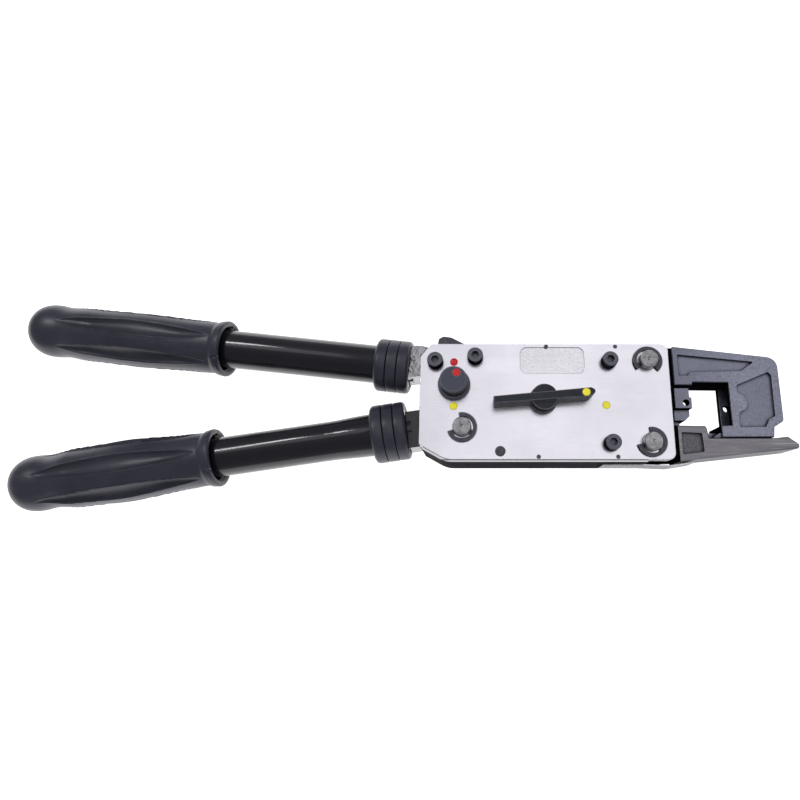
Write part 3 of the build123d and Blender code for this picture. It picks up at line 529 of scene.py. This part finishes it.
MATERIALS = {
    "nickel_plate": brushed_nickel("nickel_plate", (0.825, 0.808, 0.875), 0.2, 0.32, pocket=nameplate_area),
    "nickel_root": brushed_nickel("nickel_root", (0.36, 0.355, 0.37), 0.12, 0.24, ripple=0.3),
    "blackened_steel": dark_steel("blackened_steel", (0.275, 0.284, 0.360), (0.55, 0.56, 0.62), 0.40,
                                  grain=1.0, wear_and_highlight=0.45, cast=pocket_floors, black=mouth_walls, darkening=0.9),
    "worn_steel": worn_latch_steel(mouth_walls, pocket_floors),
    "black_oxide": dark_steel("black_oxide", (0.068, 0.070, 0.084), (0.46, 0.46, 0.49), 0.36, wear_and_highlight=0.9,
                              edge=0.0008, bright=sheared_edge, lit_tops=screw_tops, darkening=0.5,
                              graze=0.04),
    "spring_steel": dark_steel("spring_steel", (0.5, 0.5, 0.52), (0.75, 0.75, 0.77), 0.25, edge=0.0004),
    "pin_steel": turned_pin(PIN_CENTERS),
    "hidden_steel": dark_steel("hidden_steel", (0.34, 0.34, 0.36), (0.6, 0.6, 0.62), 0.35, edge=0.0006),
    "gloss_black_paint": glossy_paint(),
    "black_rubber": rubber("black_rubber", (0.0330, 0.0340, 0.0520)),
    "lever_black": coated_black("lever_black", (0.030, 0.032, 0.043), 0.30, KNOB_CENTER),
    "red_mark": enamel("red_mark", (0.66, 0.012, 0.016)),
    "yellow_mark": enamel("yellow_mark", (1.0, 0.93, 0.040)),
}

for row in frame["record"]["subparts"]:
    node = frame["nodes"][row["node"]]
    node.data.materials.clear()
    node.data.materials.append(MATERIALS[row["material_slot"]])


# ---------------------------------------------------------------- floor

def pale_floor():
    """Plain pale floor."""
    s = Shader("pale_floor")
    s.link(s.mix(s.noise(3, 2, 0.5), (0.92, 0.92, 0.93), (0.94, 0.94, 0.95)), "Base Color")
    s.set(Roughness=0.6, Emission_Color=(1, 1, 1, 1), Emission_Strength=1.0)
    return s.material


def add_piece(name, mesh_maker, material):
    """Mesh object made by a function that fills a bmesh."""
    shape = bmesh.new()
    mesh_maker(shape)
    bmesh.ops.recalc_face_normals(shape, faces=shape.faces)
    mesh = bpy.data.meshes.new(name)
    shape.to_mesh(mesh)
    shape.free()
    mesh.materials.append(material)
    mesh.polygons.foreach_set("use_smooth", [True] * len(mesh.polygons))
    piece = bpy.data.objects.new(name, mesh)
    bpy.context.scene.collection.objects.link(piece)
    return piece


FLOOR_HALF = 3.0


def floor_mesh(shape):
    bmesh.ops.create_grid(shape, x_segments=8, y_segments=8, size=FLOOR_HALF)


floor = add_piece("floor", floor_mesh, pale_floor())
floor.location = (0, 0, CAD_BOX[0][2] - 0.0002)


# ---------------------------------------------------------------- handles

BORE_GAP = 0.00006
RING_POINTS = 288
FLUTES = 6
FLUTE_DEPTH = 0.0030
FLUTE_START, FLUTE_END = 0.010, 0.121       # along the grip from its mouth
FLUTE_HALF_ANGLE = 0.29
BALL_R = 0.0196
CAP_DEPTH, CAP_POWER = 0.0172, 2.35         # how far the blunt end stands out, and how square it is
LIP_R, LIP_INNER_R = 0.0207, 0.0166
BORE_START = 0.018                          # the bore narrows to the tube this far in from the mouth
BORE_END = 0.024                            # and stops this far short of the grip's end


def end_middle(points, end):
    """Middle of the points that lie at one end of a long piece that runs about along X."""
    limit = max(p.x * end for p in points)
    near = [p for p in points if limit - p.x * end < 0.0055]
    return sum(near, Vector()) / len(near)


class Handle:
    """Axis of one handle, outwards from the body, and where its pieces lie along it."""

    def __init__(self, side):
        tube = [v.co for v in frame["nodes"][f"{side}_handle_tube"].data.vertices]
        inner, outer = end_middle(tube, 1), end_middle(tube, -1)
        self.start = inner
        self.way = (outer - inner).normalized()
        self.slope = math.atan2(self.way.y, self.way.x)
        self.tube_r = max(self.off_axis(p) for p in tube if self.along(p) > 0.08)
        self.collar_bore = max(self.off_axis(p) for p in tube if self.along(p) < 0.02)
        self.collar = self.reach(f"{side}_collar")
        self.collar_r = self.widest(f"{side}_collar")
        self.grip = self.reach(f"{side}_grip")
        self.grip_r = self.widest(f"{side}_grip")

    def along(self, point):
        return (point - self.start).dot(self.way)

    def off_axis(self, point):
        return (point - self.start - self.way * self.along(point)).length

    def reach(self, node):
        places = [self.along(v.co) for v in frame["nodes"][node].data.vertices]
        return min(places), max(places)

    def widest(self, node):
        return max(self.off_axis(v.co) for v in frame["nodes"][node].data.vertices)


def along_curve(points, at):
    """Smooth value through (place, value) points."""
    if at <= points[0][0]:
        return points[0][1]
    for (x0, y0), (x1, y1) in zip(points, points[1:]):
        if at <= x1:
            t = (at - x0) / (x1 - x0)
            return y0 + (y1 - y0) * t * t * (3 - 2 * t)
    return points[-1][1]


def flute_cut(along, angle, phase):
    """Depth of the lens-shaped flutes at a place on the grip, with a thin raised line on each rim."""
    middle = (FLUTE_START + FLUTE_END) / 2
    half_length = (FLUTE_END - FLUTE_START) / 2
    reach = 1 - ((along - middle) / half_length) ** 2
    if reach <= 0:
        return 0.0
    pitch = 2 * math.pi / FLUTES
    offset = (angle - phase + pitch / 2) % pitch - pitch / 2
    half_width = FLUTE_HALF_ANGLE * reach ** 0.6
    edge = abs(offset) / max(half_width, 1e-6)
    rim = 0.00050 * math.exp(-(((edge - 1.0) * half_width) / 0.02) ** 2) * min(1.0, reach * 3)
    if edge >= 1:
        return -rim
    return FLUTE_DEPTH * (1 - edge ** 2) ** 0.55 * min(1.0, reach * 1.5) - rim


def lathe(shape, rings, handle, dent=None):
    """Skin rings of (distance, radius) turned about a handle's axis, with optional dents."""
    turn = Matrix.Rotation(handle.slope, 3, "Z")
    loops = []
    for along, radius in rings:
        loop = []
        for index in range(RING_POINTS):
            angle = 2 * math.pi * index / RING_POINTS
            r = radius - (dent(along, angle) if dent else 0.0)
            point = turn @ Vector((along, r * math.cos(angle), r * math.sin(angle)))
            loop.append(shape.verts.new(handle.start + point))
        loops.append(loop)
    for first, second in zip(loops, loops[1:]):
        for index in range(RING_POINTS):
            after = (index + 1) % RING_POINTS
            shape.faces.new((first[index], first[after], second[after], second[index]))
    return loops


def grip_rings(handle):
    """Rings from inside the mouth, round its lip, along the body and over the ball end."""
    mouth, end = handle.grip
    ball = end - CAP_DEPTH - 0.0002
    bore = handle.tube_r + BORE_GAP
    rings = [(mouth + BORE_START, bore), (mouth + 0.012, bore + 0.0006),
             (mouth + 0.005, LIP_INNER_R - 0.0006), (mouth + 0.0016, LIP_INNER_R)]
    half = (LIP_R - LIP_INNER_R) / 2
    for step in range(9):
        angle = math.pi * (1 - step / 8)
        radius = LIP_INNER_R + half + half * math.cos(angle)
        rings.append((mouth + 0.0018 - 0.0017 * math.sin(angle), radius))
    length = ball - mouth
    middle_r = handle.grip_r - 0.00055
    profile = ((0.0018, LIP_R), (0.0050, LIP_R - 0.0004), (0.0085, 0.0190), (0.020, 0.01905),
               (length * 0.5, middle_r), (length * 0.78, middle_r - 0.0008), (length * 0.92, 0.0187),
               (length, BALL_R))
    steps = 120
    for step in range(1, steps + 1):
        along = 0.0018 + (length - 0.0018) * step / steps
        rings.append((mouth + along, along_curve(profile, along)))
    for step in range(1, 24):
        reach = math.sin(math.pi / 2 * step / 24)
        rings.append((ball + CAP_DEPTH * reach, BALL_R * (1 - reach ** CAP_POWER) ** (1 / CAP_POWER)))
    return rings


def grip_mesh(handle, phase):
    """Builder of one fluted grip, open at its mouth and hollow for the tube."""
    mouth, end = handle.grip
    bore = handle.tube_r + BORE_GAP

    def dent(along, angle):
        cut = flute_cut(along - mouth, angle, phase)
        slit = 0.0
        if along < mouth + 0.004:
            slit = 0.0009 * math.exp(-((math.sin(1.5 * angle + phase) / 0.05) ** 2))
        return max(cut, -0.0005) + slit

    def build(shape):
        loops = lathe(shape, grip_rings(handle), handle, dent)
        shape.faces.new(loops[-1])
        inside = lathe(shape, [(mouth + BORE_START, bore), (end - BORE_END, bore)], handle)
        shape.faces.new(inside[-1])
        bmesh.ops.remove_doubles(shape, verts=shape.verts, dist=1e-6)
    return build


COLLAR_SPLITS = (0.0, 0.0088, 0.0090, 0.0174, 0.0176, 0.027)
COLLAR_GROOVE = 0.0012


def collar_rings(handle):
    """Three rings with rounded shoulders; the outer two taper in at the collar's ends."""
    start, end = handle.collar
    outer = handle.collar_r - 0.0001
    bore = handle.collar_bore + BORE_GAP
    scale = (end - start) / COLLAR_SPLITS[-1]
    rings = [(start, bore)]
    for number in range(3):
        low = start + COLLAR_SPLITS[2 * number] * scale
        high = start + COLLAR_SPLITS[2 * number + 1] * scale
        left = 0.0028 if number == 0 else 0.0008
        right = 0.0028 if number == 2 else 0.0008
        left_drop = COLLAR_GROOVE * (2.0 if number == 0 else 1.0)
        right_drop = COLLAR_GROOVE * (2.0 if number == 2 else 1.0)
        for step in range(7):
            t = math.pi / 2 * step / 6
            rings.append((low + left * (1 - math.cos(t)), outer - left_drop * (1 - math.sin(t))))
        for step in range(7):
            t = math.pi / 2 * step / 6
            rings.append((high - right * (1 - math.sin(t)), outer - right_drop * (1 - math.cos(t))))
    rings.append((end, bore))
    rings.append((start, bore))
    return rings


def collar_mesh(handle):
    """Builder of one ringed collar."""
    def build(shape):
        lathe(shape, collar_rings(handle), handle)
        bmesh.ops.remove_doubles(shape, verts=shape.verts, dist=1e-6)
    return build


DROP_R = 0.00272
DROP_SUNK, DROP_RISE = 0.0003, 0.0007


def dome_mesh(centers, top, radius):
    """Builder of domed enamel drops on inlaid marks."""
    def build(shape):
        for center in centers:
            loops = []
            for step in range(7):
                reach = math.cos(math.pi / 2 * step / 7)
                level = min(top - DROP_SUNK + DROP_RISE * math.sin(math.pi / 2 * step / 7), CAD_BOX[1][2])
                points = [center + Vector((math.cos(a), math.sin(a), 0)) * radius * reach
                          for a in (2 * math.pi * n / 48 for n in range(48))]
                loops.append([shape.verts.new((p.x, p.y, level)) for p in points])
            for first, second in zip(loops, loops[1:]):
                for n in range(48):
                    m = (n + 1) % 48
                    shape.faces.new((first[n], first[m], second[m], second[n]))
            shape.faces.new(loops[-1])
            shape.faces.new(list(reversed(loops[0])))
    return build


def clusters(node):
    """Middles of the separate round inlays of a node."""
    left = [v.co.copy() for v in frame["nodes"][node].data.vertices]
    middles = []
    while left:
        near = [p for p in left if (p.xy - left[0].xy).length < 0.01]
        left = [p for p in left if (p.xy - left[0].xy).length >= 0.01]
        low = Vector((min(p.x for p in near), min(p.y for p in near), 0))
        high = Vector((max(p.x for p in near), max(p.y for p in near), 0))
        middles.append((low + high) / 2)
    return middles


MARKS = (
    ("red_plate_mark", "frame", "red_mark"), ("yellow_plate_marks", "frame", "yellow_mark"),
    ("knob_mark", "knob", "red_mark"), ("lever_mark", "pointer_lever", "yellow_mark"),
)
for node, body, finish in MARKS:
    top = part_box(node)[1][2]
    drop = add_piece(f"{node}_drop", dome_mesh(clusters(node), top, DROP_R), MATERIALS[finish])
    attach(drop, body)
    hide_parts(node)


FLUTE_PHASE = {"upper": 0.157, "lower": 0.12}
HANDLE_BODY = {"upper": "frame", "lower": "moving_handle"}
for side, body in HANDLE_BODY.items():
    handle = Handle(side)
    grip = add_piece(f"{side}_fluted_grip", grip_mesh(handle, math.pi / 2 + FLUTE_PHASE[side]),
                     MATERIALS["black_rubber"])
    collar = add_piece(f"{side}_ringed_collar", collar_mesh(handle), MATERIALS["black_rubber"])
    for piece, replaced in ((grip, f"{side}_grip"), (collar, f"{side}_collar")):
        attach(piece, body)
        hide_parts(replaced)
